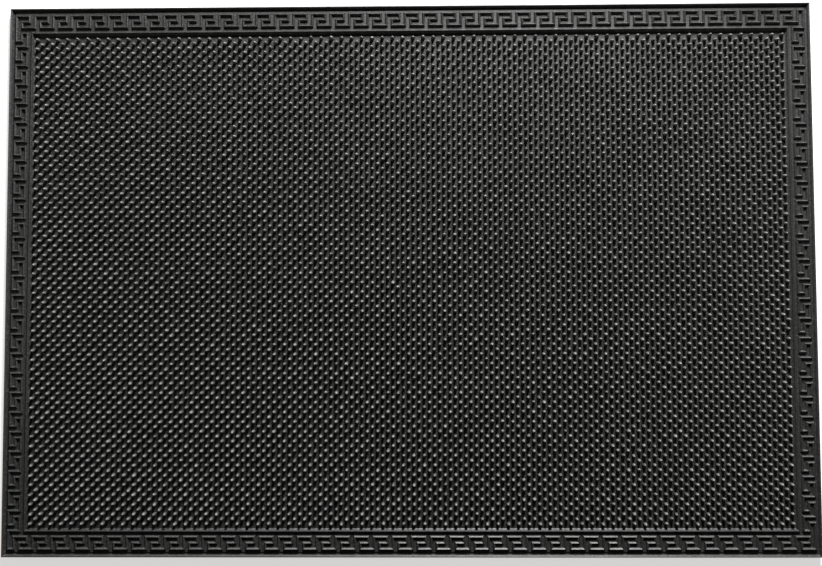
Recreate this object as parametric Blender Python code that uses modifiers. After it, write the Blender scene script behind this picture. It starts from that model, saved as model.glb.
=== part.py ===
"""A moulded black rubber door mat.

The mat is one flat sheet with four kinds of relief on its upper side:
  - a recessed middle field of small upright pins, set in a staggered grid;
  - a raised border land, a frame of four sides with mitred corners;
  - on that land, a Greek key: one thin ridge that winds all the way round the mat;
  - a thin rim along the outer edge and a rail along the field.

Every layer is a separate solid, and a seam gap keeps each clear of its neighbours.
Origin: the centre of the underside.  +X runs along the longer side, +Y to the back, +Z up.
Back, front, left and right are as seen from above with +Y away from the viewer.
"""

import math

import bpy
from mathutils import Vector

# ---------------------------------------------------------------- driving sizes (metres)
MAT_LENGTH = 0.600            # along X
MAT_DEPTH = 0.409             # along Y
BASE_THICKNESS = 0.0025       # the plain sheet under everything
LAND_THICKNESS = 0.0010       # the border land, measured up from the sheet
RELIEF_HEIGHT = 0.0016        # rim, key ridge and rail, measured up from the land
PIN_HEIGHT = 0.0040           # the pins, measured up from the sheet
SEAM_GAP = 0.0003             # clearance left between two neighbouring solids

LONG_BORDER_WIDTH = 0.0200    # border along the back and the front
SHORT_BORDER_WIDTH = 0.0178   # border along the left and the right
RIM_WIDTH = 0.0017
RAIL_WIDTH = 0.0022

# The key ridge runs on three parallel lines, evenly spaced between two plain grooves.
RIDGE_WIDTH = 0.0018
LONG_RIM_GROOVE = 0.0034      # back and front: clear width from the rim to the ridge
LONG_RAIL_GROOVE = 0.0021     # and from the ridge to the rail
SHORT_RIM_GROOVE = 0.0022     # the same two on the left and the right
SHORT_RAIL_GROOVE = 0.0017
LONG_KEY_COUNT = 42           # keys along the back, and along the front
SHORT_KEY_COUNT = 26          # keys down the left, and down the right
HOOK_END = 0.70               # where a key's long bar turns in, as a share of its pitch
HOOK_START = 0.30             # where the short bar that runs back turns out again

PIN_MARGIN_X = 0.0029         # the border's inner edge to the centres of the first pins
PIN_MARGIN_Y = 0.0040
PIN_ROOT_RADIUS = 0.0014

UNDERSIDE_CHAMFER = 0.0004

# ---------------------------------------------------------------- sizes that follow
HALF_LENGTH = MAT_LENGTH / 2
HALF_DEPTH = MAT_DEPTH / 2
LAND_TOP = BASE_THICKNESS + LAND_THICKNESS
RELIEF_TOP = LAND_TOP + RELIEF_HEIGHT
MITRE_SETBACK = SEAM_GAP / math.sqrt(2)   # each side draws back by this along its run
SIDES = ("back", "right", "front", "left")


def line_insets(border_width, rim_groove, rail_groove):
    """Edge of the mat to each of the ridge's three lines, and to one line further in."""
    first = RIM_WIDTH + rim_groove + RIDGE_WIDTH / 2
    third = border_width - RAIL_WIDTH - rail_groove - RIDGE_WIDTH / 2
    pitch = (third - first) / 2
    return [first, first + pitch, third, third + pitch]


# ---------------------------------------------------------------- scene, materials, solids
def empty_the_scene():
    for item in list(bpy.data.objects):
        bpy.data.objects.remove(item, do_unlink=True)


def new_collection(name):
    collection = bpy.data.collections.new(name)
    bpy.context.scene.collection.children.link(collection)
    return collection


def rubber(name, shade, roughness):
    """A dull black rubber; shade is its grey level in linear light."""
    material = bpy.data.materials.new(name)
    material.use_nodes = True
    shader = material.node_tree.nodes["Principled BSDF"]
    shader.inputs["Base Color"].default_value = (shade, shade, shade, 1.0)
    shader.inputs["Roughness"].default_value = roughness
    shader.inputs["Metallic"].default_value = 0.0
    return material


def flat_piece(collection, name, outline, bottom, top, material):
    """A flat piece between two heights: a filled 2D outline, extruded both ways."""
    curve = bpy.data.curves.new(name, "CURVE")
    curve.dimensions = "2D"
    curve.fill_mode = "BOTH"
    curve.extrude = (top - bottom) / 2
    spline = curve.splines.new("POLY")
    spline.points.add(len(outline) - 1)
    for point, corner in zip(spline.points, outline):
        point.co = (corner.x, corner.y, 0.0, 1.0)
    spline.use_cyclic_u = True
    curve.materials.append(material)
    piece = bpy.data.objects.new(name, curve)
    piece.location.z = (top + bottom) / 2
    collection.objects.link(piece)
    return piece


# ---------------------------------------------------------------- outlines
def inset_corners(long_inset, short_inset):
    """The mat's four corners drawn in, clockwise from the back left one.

    long_inset is taken from the back and the front, short_inset from the left and right.
    """
    x = HALF_LENGTH - short_inset
    y = HALF_DEPTH - long_inset
    return [Vector((-x, y)), Vector((x, y)), Vector((x, -y)), Vector((-x, -y))]


def mitred_sides(outer, inner):
    """Four four-cornered outlines, one for each side of the frame between two rectangles."""
    outlines = {}
    for start, side in enumerate(SIDES):
        end = (start + 1) % len(SIDES)
        setback = (outer[end] - outer[start]).normalized() * MITRE_SETBACK
        outlines[side] = [
            outer[start] + setback,
            outer[end] - setback,
            inner[end] - setback,
            inner[start] + setback,
        ]
    return outlines


def running_key(count, start, end, lines, place):
    """The middle line of a run of keys, from its first foot to its last.

    A key starts on the third line, climbs to the first, runs along it, turns in to the
    second, runs back along that, and drops to the third, which leads to the next key.
    place(along, across) turns the two distances into a point of the mat.
    """
    first, second, third = lines
    pitch = (end - start) / count
    path = [place(start, third)]
    for number in range(count):
        foot = start + number * pitch
        path += [
            place(foot, first),
            place(foot + HOOK_END * pitch, first),
            place(foot + HOOK_END * pitch, second),
            place(foot + HOOK_START * pitch, second),
            place(foot + HOOK_START * pitch, third),
            place(foot + pitch, third),
        ]
    return path


def key_paths():
    """The ridge's middle line, cut into one path for each side of the mat.

    The keys all read the same way up, so the ridge meets each corner in another way.  Every
    cut lies on a straight stretch beside a corner and is one seam gap long.
    """
    short_insets = line_insets(SHORT_BORDER_WIDTH, SHORT_RIM_GROOVE, SHORT_RAIL_GROOVE)
    long_insets = line_insets(LONG_BORDER_WIDTH, LONG_RIM_GROOVE, LONG_RAIL_GROOVE)
    edge_x, middle_x, inner_x, _ = (HALF_LENGTH - inset for inset in short_insets)
    edge_y, middle_y, inner_y, beyond_y = (HALF_DEPTH - inset for inset in long_insets)

    def along_x(along, across):
        return Vector((along, across))

    def down_y(along, across):
        return Vector((across, along))

    back = running_key(LONG_KEY_COUNT, -edge_x, middle_x, (edge_y, middle_y, inner_y), along_x)
    back += [Vector((middle_x, edge_y)), Vector((edge_x, edge_y)), Vector((edge_x, inner_y))]

    right = running_key(SHORT_KEY_COUNT, beyond_y, -inner_y, (inner_x, middle_x, edge_x), down_y)
    right.insert(0, Vector((edge_x, inner_y - SEAM_GAP)))

    front = running_key(
        LONG_KEY_COUNT, -middle_x, edge_x, (-inner_y, -middle_y, -edge_y), along_x
    )
    front = [Vector((-edge_x, -inner_y - SEAM_GAP)), Vector((-edge_x, -edge_y))] + front
    front.append(Vector((edge_x, -inner_y - SEAM_GAP)))

    left = running_key(
        SHORT_KEY_COUNT, inner_y, -beyond_y, (-edge_x, -middle_x, -inner_x), down_y
    )
    left[0:2] = [Vector((-edge_x, inner_y - SEAM_GAP))]   # the first key has no bar across
    left += [Vector((-edge_x, -beyond_y)), Vector((-edge_x, -inner_y))]

    return {"back": back, "right": right, "front": front, "left": left}


def ridge_outline(path, width):
    """The outline of a ridge of one width along a path, with square corners and ends."""
    steps = [(b - a).normalized() for a, b in zip(path, path[1:])]
    normals = [Vector((-step.y, step.x)) for step in steps]
    before = [normals[0]] + normals
    after = normals + [normals[-1]]
    offsets = [
        (n + m) * (width / 2) / (1 + n.dot(m)) for n, m in zip(before, after)
    ]
    one_side = [point + offset for point, offset in zip(path, offsets)]
    other_side = [point - offset for point, offset in zip(path, offsets)]
    return one_side + other_side[::-1]


# ---------------------------------------------------------------- the sub-parts
def make_base_sheet(collection):
    """The sheet that all the relief stands on; its underside is the mat's flat face."""
    material = rubber("base_rubber", 0.020, 0.62)
    bpy.ops.mesh.primitive_cube_add(size=1.0)
    sheet = bpy.context.active_object
    sheet.name = "base_sheet"
    sheet.data.name = "base_sheet"
    for vertex in sheet.data.vertices:
        vertex.co.x *= MAT_LENGTH
        vertex.co.y *= MAT_DEPTH
        vertex.co.z = (vertex.co.z + 0.5) * BASE_THICKNESS
    bevel_weight = sheet.data.attributes.new("bevel_weight_edge", "FLOAT", "EDGE")
    for edge in sheet.data.edges:
        if all(sheet.data.vertices[index].co.z == 0.0 for index in edge.vertices):
            bevel_weight.data[edge.index].value = 1.0
    bevel = sheet.modifiers.new("underside chamfer", "BEVEL")
    bevel.limit_method = "WEIGHT"
    bevel.width = UNDERSIDE_CHAMFER
    bevel.segments = 1
    sheet.data.materials.append(material)
    for home in list(sheet.users_collection):
        home.objects.unlink(sheet)
    collection.objects.link(sheet)


def make_border_land(collection):
    """The raised frame that carries the key, its four sides mitred at the corners."""
    material = rubber("border_rubber", 0.022, 0.58)
    outlines = mitred_sides(
        inset_corners(0.0, 0.0), inset_corners(LONG_BORDER_WIDTH, SHORT_BORDER_WIDTH)
    )
    for side, outline in outlines.items():
        flat_piece(
            collection, "border_land_" + side, outline,
            BASE_THICKNESS + SEAM_GAP, LAND_TOP, material,
        )


def make_rim(collection):
    """The thin raised rim along the mat's outer edge."""
    material = rubber("rim_rubber", 0.024, 0.55)
    outlines = mitred_sides(inset_corners(0.0, 0.0), inset_corners(RIM_WIDTH, RIM_WIDTH))
    for side, outline in outlines.items():
        flat_piece(
            collection, "outer_rim_" + side, outline,
            LAND_TOP + SEAM_GAP, RELIEF_TOP, material,
        )


def make_rail(collection):
    """The raised rail that closes the border off from the field."""
    material = rubber("rail_rubber", 0.024, 0.55)
    outlines = mitred_sides(
        inset_corners(LONG_BORDER_WIDTH - RAIL_WIDTH, SHORT_BORDER_WIDTH - RAIL_WIDTH),
        inset_corners(LONG_BORDER_WIDTH, SHORT_BORDER_WIDTH),
    )
    for side, outline in outlines.items():
        flat_piece(
            collection, "inner_rail_" + side, outline,
            LAND_TOP + SEAM_GAP, RELIEF_TOP, material,
        )


def make_key_ridge(collection):
    """The Greek key: one ridge, wound round the mat, in a piece for each side."""
    material = rubber("key_rubber", 0.024, 0.55)
    for side, path in key_paths().items():
        flat_piece(
            collection, "key_ridge_" + side, ridge_outline(path, RIDGE_WIDTH),
            LAND_TOP + SEAM_GAP, RELIEF_TOP, material,
        )


def make_pin_field(collection):
    """The plain block that the pins fill, from the sheet to the plane of their tips."""
    material = rubber("pin_rubber", 0.020, 0.50)
    outline = inset_corners(
        LONG_BORDER_WIDTH + PIN_MARGIN_Y - PIN_ROOT_RADIUS,
        SHORT_BORDER_WIDTH + PIN_MARGIN_X - PIN_ROOT_RADIUS,
    )
    flat_piece(
        collection, "pin_field", outline,
        BASE_THICKNESS + SEAM_GAP, BASE_THICKNESS + PIN_HEIGHT, material,
    )


def main():
    empty_the_scene()
    mat = new_collection("door_mat")
    make_base_sheet(mat)
    make_border_land(mat)
    make_rim(mat)
    make_rail(mat)
    make_key_ridge(mat)
    make_pin_field(mat)


main()
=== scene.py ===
# %% [markdown]
# # A moulded rubber door mat
#
# The mat is one piece of black rubber, pressed hot in a steel mould.  The mould gives it a
# flat sheet, a raised border with a Greek key on it, and a field of small upright pins that
# scrape a shoe.  This lesson builds every region of that moulding as a surface worked out
# with numpy, gives it a rubber finish made of shader nodes, and lights it on a pale floor,
# seen from above.

import math

import bmesh
import bpy
import numpy as np
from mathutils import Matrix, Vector


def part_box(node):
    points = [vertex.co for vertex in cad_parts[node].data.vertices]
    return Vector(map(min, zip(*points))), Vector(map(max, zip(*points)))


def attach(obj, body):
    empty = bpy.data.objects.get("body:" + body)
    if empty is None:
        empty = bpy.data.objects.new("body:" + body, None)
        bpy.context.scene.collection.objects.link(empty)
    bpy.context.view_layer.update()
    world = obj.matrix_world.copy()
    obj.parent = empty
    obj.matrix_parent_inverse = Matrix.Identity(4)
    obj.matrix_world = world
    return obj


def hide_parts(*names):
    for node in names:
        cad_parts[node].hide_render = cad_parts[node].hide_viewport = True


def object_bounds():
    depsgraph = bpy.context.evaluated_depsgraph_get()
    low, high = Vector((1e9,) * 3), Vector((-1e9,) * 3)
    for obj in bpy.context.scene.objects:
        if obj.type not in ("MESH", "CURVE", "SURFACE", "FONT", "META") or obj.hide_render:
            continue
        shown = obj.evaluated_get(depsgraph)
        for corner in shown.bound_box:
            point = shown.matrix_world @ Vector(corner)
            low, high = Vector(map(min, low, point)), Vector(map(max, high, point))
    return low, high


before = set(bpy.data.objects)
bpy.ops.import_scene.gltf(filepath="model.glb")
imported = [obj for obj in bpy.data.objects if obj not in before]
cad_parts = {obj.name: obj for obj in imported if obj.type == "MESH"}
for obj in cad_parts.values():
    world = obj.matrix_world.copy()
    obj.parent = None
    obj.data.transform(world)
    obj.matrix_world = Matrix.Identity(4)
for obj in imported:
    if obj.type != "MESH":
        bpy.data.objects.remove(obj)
cad_low, cad_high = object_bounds()
print("frame box, mm:", [round(1000 * side, 1) for side in cad_high - cad_low])

# %% [markdown]
# ## Sizes
#
# The main sizes could be typed in again, but then a changed solid would leave its looks
# behind.  So they are read from the frame.  A box of a solid gives its lowest and highest
# corner: the back border gives the width of the long borders, the left one the width of the
# short borders, and the tops give the four heights of the moulding.

# %% Sizes read from the frame
MM = 0.001


def box_size(node):
    """The three side lengths of a solid's box."""
    low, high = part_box(node)
    return Vector(high) - Vector(low)


HALF_LENGTH = cad_high.x
HALF_DEPTH = cad_high.y
SHEET_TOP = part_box("base_sheet")[1][2]
LAND_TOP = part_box("border_land_back")[1][2]
RELIEF_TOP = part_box("outer_rim_back")[1][2]
PIN_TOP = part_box("pin_field")[1][2]
LONG_BORDER = box_size("border_land_back").y
SHORT_BORDER = box_size("border_land_left").x
SIDES = ("back", "right", "front", "left")
print("heights, mm:", [round(z / MM, 2) for z in (SHEET_TOP, LAND_TOP, RELIEF_TOP, PIN_TOP)])
print("borders, mm:", round(LONG_BORDER / MM, 2), round(SHORT_BORDER / MM, 2))

# %% [markdown]
# ## Camera, light and floor
#
# The camera hangs 64 cm over the mat and looks almost straight down.  A lower place would show
# the sides of the pins, but the pattern of a flat thing reads best from above.  The camera
# leans by two and a half degrees, so the front edge looks a little longer than the back one.

# %% Camera
scene = bpy.context.scene
CAMERA_PLACE = (0.0104, -0.0319, 0.636)
CAMERA_TILT_DEGREES = (2.53, 0.78, -0.19)
FOCAL_LENGTH_TO_SENSOR = 1.03893
NEAREST_SEEN = 0.01

camera_data = bpy.data.cameras.new("camera")
camera_data.lens = FOCAL_LENGTH_TO_SENSOR * camera_data.sensor_width
camera_data.clip_start = NEAREST_SEEN
camera = bpy.data.objects.new("camera", camera_data)
camera.location = CAMERA_PLACE
camera.rotation_euler = [math.radians(angle) for angle in CAMERA_TILT_DEGREES]
scene.collection.objects.link(camera)
scene.camera = camera
scene.view_settings.view_transform = "Standard"
print("lens, mm:", round(camera_data.lens, 1))

# %% [markdown]
# Black rubber has almost no colour of its own, so what the eye reads is light lying on it.
# A wide light overhead would fill every groove and make the mat a flat black sheet.  So one
# small light stands low behind the back edge, a little to the right, where it rakes over the
# pins and throws the shadow of every ridge to the front.  Two far weaker ones stand to the
# left and the right.  Nothing lights the mat from the front, so every face that looks to the
# front stays dark.

# %% Lights
# name: (place, side of the square in metres, power in watts)
STUDIO_LIGHTS = {
    "back_light": ((0.22, 1.12, 0.60), 0.30, 60.0),
    "left_light": ((-0.90, 0.10, 0.40), 0.40, 0.7),
    "right_light": ((0.90, 0.10, 0.40), 0.40, 0.5),
}
LIGHT_FROM_ALL_SIDES = 0.008


def square_light(name, place, side, watts):
    """A square light that faces the origin, so its direction is minus its place."""
    data = bpy.data.lights.new(name, "AREA")
    data.size = side
    data.energy = watts
    light = bpy.data.objects.new(name, data)
    light.location = place
    light.rotation_euler = (-Vector(place)).to_track_quat("-Z", "Y").to_euler()
    scene.collection.objects.link(light)
    print(name, "at", place, "power, W:", watts)


for name, settings in STUDIO_LIGHTS.items():
    square_light(name, *settings)

world = bpy.data.worlds.new("studio")
world.use_nodes = True
background = world.node_tree.nodes["Background"]
background.inputs["Color"].default_value = (1.0, 1.0, 1.0, 1.0)
background.inputs["Strength"].default_value = LIGHT_FROM_ALL_SIDES
scene.world = world

# %% [markdown]
# The floor is a plain sheet of white paper.  It is stage, not part of the mat.  A low light
# alone would leave it grey and uneven, and a stronger light would bleach the rubber, so the
# paper also glows a little, like a sheet that is lit from below.

# %% Floor
FLOOR_SIDE = 6.0
PAPER_COLOUR = (0.42, 0.42, 0.42, 1.0)
PAPER_ROUGHNESS = 0.9
GLOW_COLOUR = (1.0, 0.995, 0.98, 1.0)
GLOW_STRENGTH = 0.63

bpy.ops.mesh.primitive_plane_add(size=FLOOR_SIDE, location=(0.0, 0.0, 0.0))
floor = bpy.context.active_object
floor.name = "floor"
white_paper = bpy.data.materials.new("white_paper")
white_paper.use_nodes = True
paper_shader = white_paper.node_tree.nodes["Principled BSDF"]
paper_shader.inputs["Base Color"].default_value = PAPER_COLOUR
paper_shader.inputs["Roughness"].default_value = PAPER_ROUGHNESS
paper_shader.inputs["Emission Color"].default_value = GLOW_COLOUR
paper_shader.inputs["Emission Strength"].default_value = GLOW_STRENGTH
floor.data.materials.append(white_paper)
print("floor, m:", FLOOR_SIDE, "by", FLOOR_SIDE)

# %% [markdown]
# ## Black moulded rubber
#
# New rubber out of a mould is dull black with a faint skin gloss.  One flat black would look
# like paint, so three patterns break it up: slow patches where the gloss changes, a fine
# grain from the mould's steel, and a little pale dust.  A painted image would blur and repeat
# on a thing with thousands of pins.  Noise on object coordinates, in metres, needs no
# unwrapping and has a real size everywhere.


# %% Pattern helpers
def noise(nodes, links, coordinates, size, detail):
    """A noise pattern whose blotches are about size metres across: its scale is 1 / size."""
    node = nodes.new("ShaderNodeTexNoise")
    node.inputs["Scale"].default_value = 1.0 / size
    node.inputs["Detail"].default_value = detail
    links.new(coordinates, node.inputs["Vector"])
    return node.outputs["Fac"]


def spread(nodes, links, value, low, high, to_low, to_high):
    """Maps the range low..high to to_low..to_high along a straight line, and stops there."""
    node = nodes.new("ShaderNodeMapRange")
    node.inputs["From Min"].default_value = low
    node.inputs["From Max"].default_value = high
    node.inputs["To Min"].default_value = to_low
    node.inputs["To Max"].default_value = to_high
    links.new(value, node.inputs["Value"])
    return node.outputs["Result"]


def blend_colours(nodes, links, share, plain, dust_and_tip_light):
    """A colour between two: plain + (second - plain) * share; the second colour is the dust in
    one use and painted light on the pin tips in the other.
    """
    node = nodes.new("ShaderNodeMix")
    node.data_type = "RGBA"
    links.new(share, node.inputs["Factor"])
    node.inputs["A"].default_value = plain
    node.inputs["B"].default_value = dust_and_tip_light
    return node.outputs["Result"]


print("pattern helpers:", noise.__name__, spread.__name__, blend_colours.__name__)

# %% The rubber finish
BLACK = (0.012, 0.012, 0.012, 1.0)
DUSTY = (0.046, 0.045, 0.042, 1.0)
GLOSSY_PATCH, DULL_PATCH = 0.42, 0.52
PATCH_RANGE = (0.3, 0.7)
PATCH_SIZE = 30 * MM
GRAIN_SIZE = 1.2 * MM
DUST_STARTS, DUST_IS_FULL = 0.45, 0.75
SKIN_GLOSS = 0.5
GRAIN_STRENGTH = 0.5


def moulded_rubber(name, grain_height):
    """Black rubber whose grain has one height.

    Colour = black + (dusty - black) * specks.  Roughness runs from the glossy patches to the
    dull ones, and the surface is tipped by the slope of the grain.
    """
    material = bpy.data.materials.new(name)
    material.use_nodes = True
    nodes, links = material.node_tree.nodes, material.node_tree.links
    shader = nodes["Principled BSDF"]
    shader.inputs["Specular IOR Level"].default_value = SKIN_GLOSS
    where = nodes.new("ShaderNodeTexCoord").outputs["Object"]
    patches = noise(nodes, links, where, PATCH_SIZE, detail=3.0)
    specks = noise(nodes, links, where, GRAIN_SIZE, detail=2.0)
    grain = noise(nodes, links, where, GRAIN_SIZE, detail=3.0)
    dust = spread(nodes, links, specks, DUST_STARTS, DUST_IS_FULL, 0.0, 1.0)
    links.new(blend_colours(nodes, links, dust, BLACK, DUSTY), shader.inputs["Base Color"])
    rough = spread(nodes, links, patches, *PATCH_RANGE, GLOSSY_PATCH, DULL_PATCH)
    links.new(rough, shader.inputs["Roughness"])
    bump = nodes.new("ShaderNodeBump")
    bump.inputs["Strength"].default_value = GRAIN_STRENGTH
    bump.inputs["Distance"].default_value = grain_height
    links.new(grain, bump.inputs["Height"])
    links.new(bump.outputs["Normal"], shader.inputs["Normal"])
    print(name, "grain, mm:", round(grain_height / MM, 2))
    return material


sheet_rubber = moulded_rubber("sheet_rubber", 0.22 * MM)
border_rubber = moulded_rubber("border_rubber", 0.26 * MM)
pin_rubber = moulded_rubber("pin_rubber", 0.12 * MM)

# %% [markdown]
# The tips of the pins are painted a paler grey, a painted highlight for the light that
# catches them, and their feet stay black.  Tips and feet could be given two materials, but
# the change would then be a hard line.  The height of a point fades one into the other, and a
# slow noise lets some tips be painted paler than others.

# %% Painted light on the pin tips
# A paler grey painted on the pin tips: painted light where the light catches them.
TIP_LIGHT = (0.150, 0.149, 0.144, 1.0)
TIP_LIGHT_STARTS = SHEET_TOP + 0.4 * MM
TIP_LIGHT_IS_FULL = PIN_TOP - 1.2 * MM
TIP_LIGHT_PATCH = 5 * MM
TIP_LIGHT_RANGE = (0.35, 0.65)
LEAST_TIP_LIGHT = 0.35


def paint_tip_light(material):
    """Paints the pin tips paler with height, a painted highlight: share = height above the start
    * unevenness.
    """
    nodes, links = material.node_tree.nodes, material.node_tree.links
    shader = nodes["Principled BSDF"]
    rubber = shader.inputs["Base Color"].links[0].from_socket
    where = nodes.new("ShaderNodeTexCoord").outputs["Object"]
    split = nodes.new("ShaderNodeSeparateXYZ")
    links.new(where, split.inputs["Vector"])
    height = spread(nodes, links, split.outputs["Z"], TIP_LIGHT_STARTS, TIP_LIGHT_IS_FULL, 0.0, 1.0)
    blotches = noise(nodes, links, where, TIP_LIGHT_PATCH, detail=1.0)
    uneven = spread(nodes, links, blotches, *TIP_LIGHT_RANGE, LEAST_TIP_LIGHT, 1.0)
    share = nodes.new("ShaderNodeMath")
    share.operation = "MULTIPLY"
    links.new(height, share.inputs[0])
    links.new(uneven, share.inputs[1])
    dust_and_tip_light = blend_colours(nodes, links, share.outputs["Value"], BLACK, TIP_LIGHT)
    # The dusty rubber takes the place of the plain black.
    links.new(rubber, dust_and_tip_light.node.inputs["A"])
    links.new(dust_and_tip_light, shader.inputs["Base Color"])


# The pin rubber gets painted light on its tips, paler from the first height printed to the
# second.
paint_tip_light(pin_rubber)
print("scuffed from, mm:", round(TIP_LIGHT_STARTS / MM, 2), "to", round(TIP_LIGHT_IS_FULL / MM, 2))

# %% [markdown]
# ## From a grid of points to a piece
#
# Every region is a tube of sorts: a closed cross-section carried along a line.  It could be
# built from boxes and bevelled, but a grid of points gives each edge exactly the rounding it
# needs.  One direction of the grid goes round the cross-section, the other along the line.
# The helper turns the grid into quads and closes both ends with a face.


# %% Grid helpers
CRISP_ABOVE_DEGREES = 40


def add_piece(name, points, faces, material, slot, *nodes):
    """Makes a mesh object and ties it to the frame.  A negative volume means inside out."""
    mesh = bpy.data.meshes.new(name)
    mesh.from_pydata(points, [], faces)
    solid = bmesh.new()
    solid.from_mesh(mesh)
    if solid.calc_volume(signed=True) < 0:
        mesh.flip_normals()
    solid.free()
    piece = bpy.data.objects.new(name, mesh)
    scene.collection.objects.link(piece)
    mesh.materials.append(material)
    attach(piece, "root")
    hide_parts(*nodes)
    return piece


def tube_faces(around, along, tubes=1):
    """Faces of equal tubes: quads from section to section, then a face at either end.

    Point k of section s has the number s * around + k, and each further tube starts
    around * along numbers later.
    """
    ring = np.arange(around)
    here = np.arange(along - 1)[:, None] * around + ring
    there = np.roll(here, -1, axis=1)
    quads = np.stack([here, there, there + around, here + around], axis=-1).reshape(-1, 4)
    ends = np.stack([ring[::-1], ring + (along - 1) * around])
    first = around * along * np.arange(tubes)[:, None, None]
    return (first + quads).reshape(-1, 4).tolist() + (first + ends).reshape(-1, around).tolist()


def soften(piece):
    """Shades round stretches smooth and keeps every edge sharper than an angle crisp."""
    piece.data.shade_smooth()
    piece.data.set_sharp_from_angle(angle=math.radians(CRISP_ABOVE_DEGREES))


print("faces of a square tube with three sections:", len(tube_faces(4, 3)))

# %% [markdown]
# ## The four sides of a frame
#
# The border land, the rim and the rail each run round the mat like a picture frame.  One
# closed ring would do, but four sides can each be tied to their own solid.  A side is a
# cross-section carried from one mitre to the next.  Each point of the cross-section has an
# inset from the long edges, an inset from the short edges and a height, and the mitre is
# where the two insets meet.

# %% Frame helpers
CORNER_SIGNS = np.array([(-1, 1), (1, 1), (1, -1), (-1, -1)])
FROM_OUTSIDE, FROM_INSIDE = 0, 1


def frame_side(side, long_inset, short_inset, height):
    """Points of one side: its cross-section at the mitre where it starts and where it ends.

    A corner of the mat drawn in by the two insets is (x, y) = (half length - short inset,
    half depth - long inset), with the signs of that corner.
    """
    start = SIDES.index(side)
    signs = CORNER_SIGNS[[start, (start + 1) % len(SIDES)]]
    drawn_in = np.stack([HALF_LENGTH - short_inset, HALF_DEPTH - long_inset], axis=-1)
    flat = drawn_in * signs[:, None, :]
    z = np.broadcast_to(height, flat.shape[:2])[..., None]
    return np.concatenate([flat, z], axis=-1).reshape(-1, 3)


def make_frame(base_name, profile, slot):
    """Four mitred sides.  A profile row is (counted from, inset, height).

    Inset of a point = border width * counted from + inset of its row, so a row is counted
    from the outer edge of the mat or from the inner edge of the border.
    """
    counted_from, inset, height = np.array(profile).T
    long_inset = counted_from * LONG_BORDER + inset
    short_inset = counted_from * SHORT_BORDER + inset
    faces = tube_faces(len(height), 2)
    for side in SIDES:
        points = frame_side(side, long_inset, short_inset, height)
        node = base_name + "_" + side
        name = node + "_moulded"
        soften(add_piece(name, points.tolist(), faces, border_rubber, slot, node))
    print(base_name, "sides:", len(SIDES), "points round the section:", len(height))


print("inner corner of the border, mm:",
      round((HALF_LENGTH - SHORT_BORDER) / MM, 1), round((HALF_DEPTH - LONG_BORDER) / MM, 1))

# %% [markdown]
# ## Base sheet
#
# The sheet is a flat slab that holds everything else.  Its underside lies on the floor, with
# a small chamfer where the trimming knife ran.  A cube with a bevel would do too.  Three loops
# of corners, one above the other, say the same with no modifier: they are a square tube, and
# one face closes the top and one the underside.

# %% Base sheet
UNDERSIDE_CHAMFER = 0.4 * MM


def loop_round(inset, height):
    """Four corners of the mat at one height: x = half length - inset, y = half depth - inset."""
    x, y = HALF_LENGTH - inset, HALF_DEPTH - inset
    return [(-x, -y, height), (x, -y, height), (x, y, height), (-x, y, height)]


sheet_points = (
    loop_round(UNDERSIDE_CHAMFER, 0.0)
    + loop_round(0.0, UNDERSIDE_CHAMFER)
    + loop_round(0.0, SHEET_TOP)
)
sheet_faces = tube_faces(4, 3)
add_piece(
    "base_sheet_moulded", sheet_points, sheet_faces, sheet_rubber, "base_rubber", "base_sheet"
)
print("base sheet faces:", len(sheet_faces))

# %% [markdown]
# ## Border land, rim and rail
#
# The land is the flat step that carries the key.  Its inner wall slopes down to the field,
# because a mould needs draft: a wall that leans a little, so that the rubber pulls out.
# Beside the rim the land dips into a shallow trough, which keeps the groove behind the rim in
# shadow.  The rim is a low rounded ridge at the very edge, and the rail is one along the inner
# edge.  Each could be a bevelled bar, but here a short list of cross-section points is enough,
# and a reader can see from it how the rubber rises and falls.

# %% Border land
RIM_FOOT = 1.75 * MM
WALL_TOP = -0.35 * MM
WALL_FOOT = 0.40 * MM
TROUGH_START = 2.05 * MM
TROUGH_END = 3.20 * MM
TROUGH_FLOOR = LAND_TOP - 0.60 * MM
make_frame("border_land", [
    (FROM_OUTSIDE, 0.0, SHEET_TOP),
    (FROM_OUTSIDE, 0.0, LAND_TOP),
    (FROM_OUTSIDE, RIM_FOOT, LAND_TOP),
    (FROM_OUTSIDE, TROUGH_START, TROUGH_FLOOR),
    (FROM_OUTSIDE, TROUGH_END, TROUGH_FLOOR),
    (FROM_OUTSIDE, TROUGH_END + 0.55 * MM, LAND_TOP),
    (FROM_INSIDE, WALL_TOP, LAND_TOP),
    (FROM_INSIDE, 0.20 * MM, SHEET_TOP + 0.30 * MM),
    (FROM_INSIDE, WALL_FOOT, SHEET_TOP + 0.08 * MM),
    (FROM_INSIDE, WALL_FOOT + 0.35 * MM, SHEET_TOP),
], "border_rubber")

# %% Rim and rail
make_frame("outer_rim", [
    (FROM_OUTSIDE, 0.0, LAND_TOP),
    (FROM_OUTSIDE, 0.04 * MM, RELIEF_TOP - 0.40 * MM),
    (FROM_OUTSIDE, 0.18 * MM, RELIEF_TOP - 0.12 * MM),
    (FROM_OUTSIDE, 0.45 * MM, RELIEF_TOP),
    (FROM_OUTSIDE, 0.70 * MM, RELIEF_TOP),
    (FROM_OUTSIDE, 1.10 * MM, RELIEF_TOP - 0.25 * MM),
    (FROM_OUTSIDE, 1.55 * MM, LAND_TOP + 0.45 * MM),
    (FROM_OUTSIDE, RIM_FOOT, LAND_TOP),
], "relief_rubber")

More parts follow.
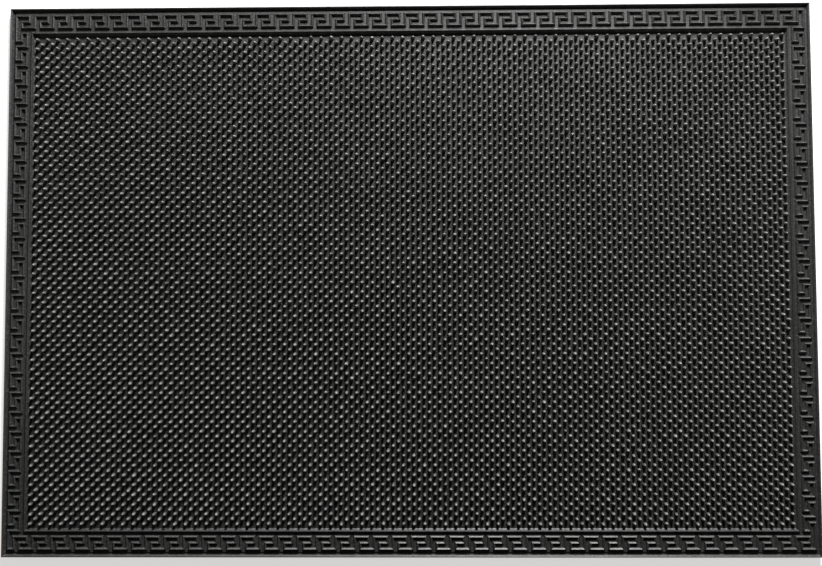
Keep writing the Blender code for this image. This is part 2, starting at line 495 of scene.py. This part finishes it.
make_frame("inner_rail", [
    (FROM_INSIDE, -2.30 * MM, LAND_TOP),
    (FROM_INSIDE, -2.00 * MM, LAND_TOP + 0.45 * MM),
    (FROM_INSIDE, -1.50 * MM, RELIEF_TOP - 0.35 * MM),
    (FROM_INSIDE, -1.10 * MM, RELIEF_TOP),
    (FROM_INSIDE, -0.80 * MM, RELIEF_TOP),
    (FROM_INSIDE, -0.55 * MM, RELIEF_TOP - 0.25 * MM),
    (FROM_INSIDE, WALL_TOP, LAND_TOP),
], "relief_rubber")

# %% [markdown]
# ## The Greek key
#
# The key is one thin ridge.  It climbs to the first of three lines, runs along it, turns in,
# runs back and drops to the third line, and so on all the way round.  All keys read the same
# way up, so each corner is turned in another way.  A key could be drawn once and copied, but
# then every joint between two copies needs care.  One unbroken path for each side has no
# joints, and the ridge is a cross-section carried along it with mitred corners.

# %% The key's lines
RIDGE_WIDTH = 1.8 * MM
LONG_KEYS = 42
SHORT_KEYS = 26
HOOK_END = 0.70
HOOK_START = 0.30


def key_lines(node, axis):
    """The ridge's three lines and one step further in, as distances from the mat's middle."""
    low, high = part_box(node)
    outer = high[axis] - RIDGE_WIDTH / 2
    inner = low[axis] + RIDGE_WIDTH / 2
    return np.linspace(outer, inner, 3).tolist() + [inner - (outer - inner) / 2]


edge_x, middle_x, inner_x, _ = key_lines("key_ridge_right", 0)
edge_y, middle_y, inner_y, beyond_y = key_lines("key_ridge_back", 1)
print("key lines in from the edge, mm:",
      [round((HALF_LENGTH - x) / MM, 1) for x in (edge_x, middle_x, inner_x)],
      [round((HALF_DEPTH - y) / MM, 1) for y in (edge_y, middle_y, inner_y)])


# %% The key's path
def running_key(count, start, end, first, second, third):
    """Middle line of a run of keys, as (along, across) rows, six for each key.

    Key number k starts at start + k * pitch.  Its six corners lie at fixed shares of the
    pitch, on the first, second or third line.
    """
    pitch = (end - start) / count
    foot = start + pitch * np.arange(count)[:, None]
    along = foot + pitch * np.array([0.0, HOOK_END, HOOK_END, HOOK_START, HOOK_START, 1.0])
    across = np.broadcast_to([first, first, second, second, third, third], (count, 6))
    run = np.stack([along, across], axis=-1).reshape(-1, 2)
    return np.concatenate([[(start, third)], run])


back_path = np.concatenate([
    running_key(LONG_KEYS, -edge_x, middle_x, edge_y, middle_y, inner_y),
    [(middle_x, edge_y), (edge_x, edge_y), (edge_x, inner_y)],
])
right_path = np.concatenate([
    [(edge_x, inner_y)],
    running_key(SHORT_KEYS, beyond_y, -inner_y, inner_x, middle_x, edge_x)[:, ::-1],
])
front_path = np.concatenate([
    [(-edge_x, -inner_y), (-edge_x, -edge_y)],
    running_key(LONG_KEYS, -middle_x, edge_x, -inner_y, -middle_y, -edge_y),
    [(edge_x, -inner_y)],
])
left_path = np.concatenate([
    running_key(SHORT_KEYS, inner_y, -beyond_y, -edge_x, -middle_x, -inner_x)[1:, ::-1],
    [(-edge_x, -beyond_y), (-edge_x, -inner_y)],
])
key_paths = dict(zip(SIDES, (back_path, right_path, front_path, left_path)))
for side, path in key_paths.items():
    length = np.linalg.norm(np.diff(path, axis=0), axis=1).sum()
    print("ridge of the", side, "side, m:", length.round(3))


# %% The ridge carried along the path
def ridge_grid(path, profile):
    """Points of a ridge: path point + profile offset * mitre, at the profile's height.

    The mitre at a corner is the sum of the two side directions over one plus their dot
    product, which keeps the ridge as wide after the corner as before it.
    """
    offset, height = np.array(profile).T
    step = np.diff(path, axis=0)
    step /= np.linalg.norm(step, axis=1, keepdims=True)
    sideways = np.stack([-step[:, 1], step[:, 0]], axis=-1)
    before = np.concatenate([sideways[:1], sideways])
    after = np.concatenate([sideways, sideways[-1:]])
    mitre = (before + after) / (1 + (before * after).sum(axis=1, keepdims=True))
    flat = path[:, None, :] + offset[None, :, None] * mitre[:, None, :]
    z = np.broadcast_to(height, flat.shape[:2])[..., None]
    return np.concatenate([flat, z], axis=-1).reshape(-1, 3)


elbow = np.array([(-1.0, 0.0), (0.0, 0.0), (0.0, 1.0)])
print("edge one step outside an elbow:", ridge_grid(elbow, [(-1.0, 0.0)])[:, :2].tolist())

# %% The ridges
HALF_RIDGE = RIDGE_WIDTH / 2
SUNK = 0.02 * MM
flank = [
    (HALF_RIDGE + 0.20 * MM, LAND_TOP - SUNK),
    (HALF_RIDGE, LAND_TOP + 0.55 * MM),
    (HALF_RIDGE - 0.30 * MM, RELIEF_TOP - 0.58 * MM),
    (HALF_RIDGE - 0.65 * MM, RELIEF_TOP - 0.18 * MM),
]
crest = [(0.0, RELIEF_TOP)]
ridge_profile = [(-offset, height) for offset, height in flank] + crest + flank[::-1]
for side, path in key_paths.items():
    points = ridge_grid(path, ridge_profile)
    faces = tube_faces(len(ridge_profile), len(path))
    node = "key_ridge_" + side
    name = node + "_moulded"
    soften(add_piece(name, points.tolist(), faces, border_rubber, "relief_rubber", node))
    print(node, "corners:", len(path), "faces:", len(faces))

# %% [markdown]
# ## The pins
#
# The field holds thousands of pins in a staggered grid: every second row is moved by half a
# pitch.  A pin is a turned shape with eight sides: a wide foot, a tapered shank and a rounded
# tip.  Thousands of separate objects would be slow, and an array modifier would make every
# pin the same.  So one pin is worked out once, and numpy adds it to all the places in one
# step.  Each pin leans, swells and stands up a hair differently, as rubber does when it
# leaves the mould.

# %% Places of the pins
HALF_PITCHES_ACROSS = 146
HALF_PITCHES_DEEP = 102
PIN_ROOT = 1.4 * MM

field_low, field_high = (np.array(corner[:2]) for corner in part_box("pin_field"))
first_pin, last_pin = field_low + PIN_ROOT, field_high - PIN_ROOT
half_pitch = (last_pin - first_pin) / (HALF_PITCHES_ACROSS, HALF_PITCHES_DEEP)
column, row = np.meshgrid(np.arange(HALF_PITCHES_ACROSS + 1), np.arange(HALF_PITCHES_DEEP + 1))
used = (column + row) % 2 == 0
places = first_pin + np.stack([column[used], row[used]], axis=-1) * half_pitch
print("pins:", len(places), "pitch, mm:", (2 * half_pitch / MM).round(2))

# %% One pin
PIN_SIDES = 8
pin_profile = np.array([
    (1.85 * MM, SHEET_TOP - 0.05 * MM),
    (1.50 * MM, SHEET_TOP + 0.35 * MM),
    (1.28 * MM, SHEET_TOP + 1.70 * MM),
    (1.02 * MM, PIN_TOP - 1.20 * MM),
    (0.68 * MM, PIN_TOP - 0.42 * MM),
    (0.26 * MM, PIN_TOP - 0.04 * MM),
])
turn = 2 * np.pi * np.arange(PIN_SIDES) / PIN_SIDES
circle = np.stack([np.cos(turn), np.sin(turn)], axis=-1)
print("faces of one pin:", len(tube_faces(PIN_SIDES, len(pin_profile))))

# %% Many pins
SWELL = 0.05
LEAN = 0.22 * MM
SHORT = 0.12 * MM


def pin_points(centres, chance):
    """Points of many pins: centre + swell * radius * circle + lean * how far up the point is."""
    radius, height = pin_profile.T
    count = len(centres)
    swell = chance.normal(1.0, SWELL, (count, 1, 1, 1))
    lean = chance.normal(0.0, LEAN, (count, 1, 1, 2))
    short = np.abs(chance.normal(0.0, SHORT, (count, 1, 1)))
    up = (height - SHEET_TOP) / (PIN_TOP - SHEET_TOP)
    flat = centres[:, None, None, :] + swell * radius[:, None, None] * circle
    flat = flat + lean * up[:, None, None]
    z = np.broadcast_to(height[:, None] - short * up[:, None], flat.shape[:3])
    return np.concatenate([flat, z[..., None]], axis=-1).reshape(-1, 3)


print("pins lean by about, mm:", round(LEAN / MM, 2))

# %% [markdown]
# All the pins in one mesh would make a piece too heavy to handle, so they are split into six
# bands from the front of the field to the back.  The chance numbers come from a fixed seed,
# so the mat is the same every time.

# %% Bands of pins
PIN_BANDS = 6
CHANCE_SEED = 7

chance = np.random.default_rng(CHANCE_SEED)
for number, band in enumerate(np.array_split(places, PIN_BANDS), start=1):
    points = pin_points(band, chance)
    faces = tube_faces(PIN_SIDES, len(pin_profile), len(band))
    name = "pin_band_%d" % number
    pins = add_piece(name, points.tolist(), faces, pin_rubber, "pin_rubber", "pin_field")
    pins.data.shade_smooth()
    print(name, "pins:", len(band), "faces:", len(faces))
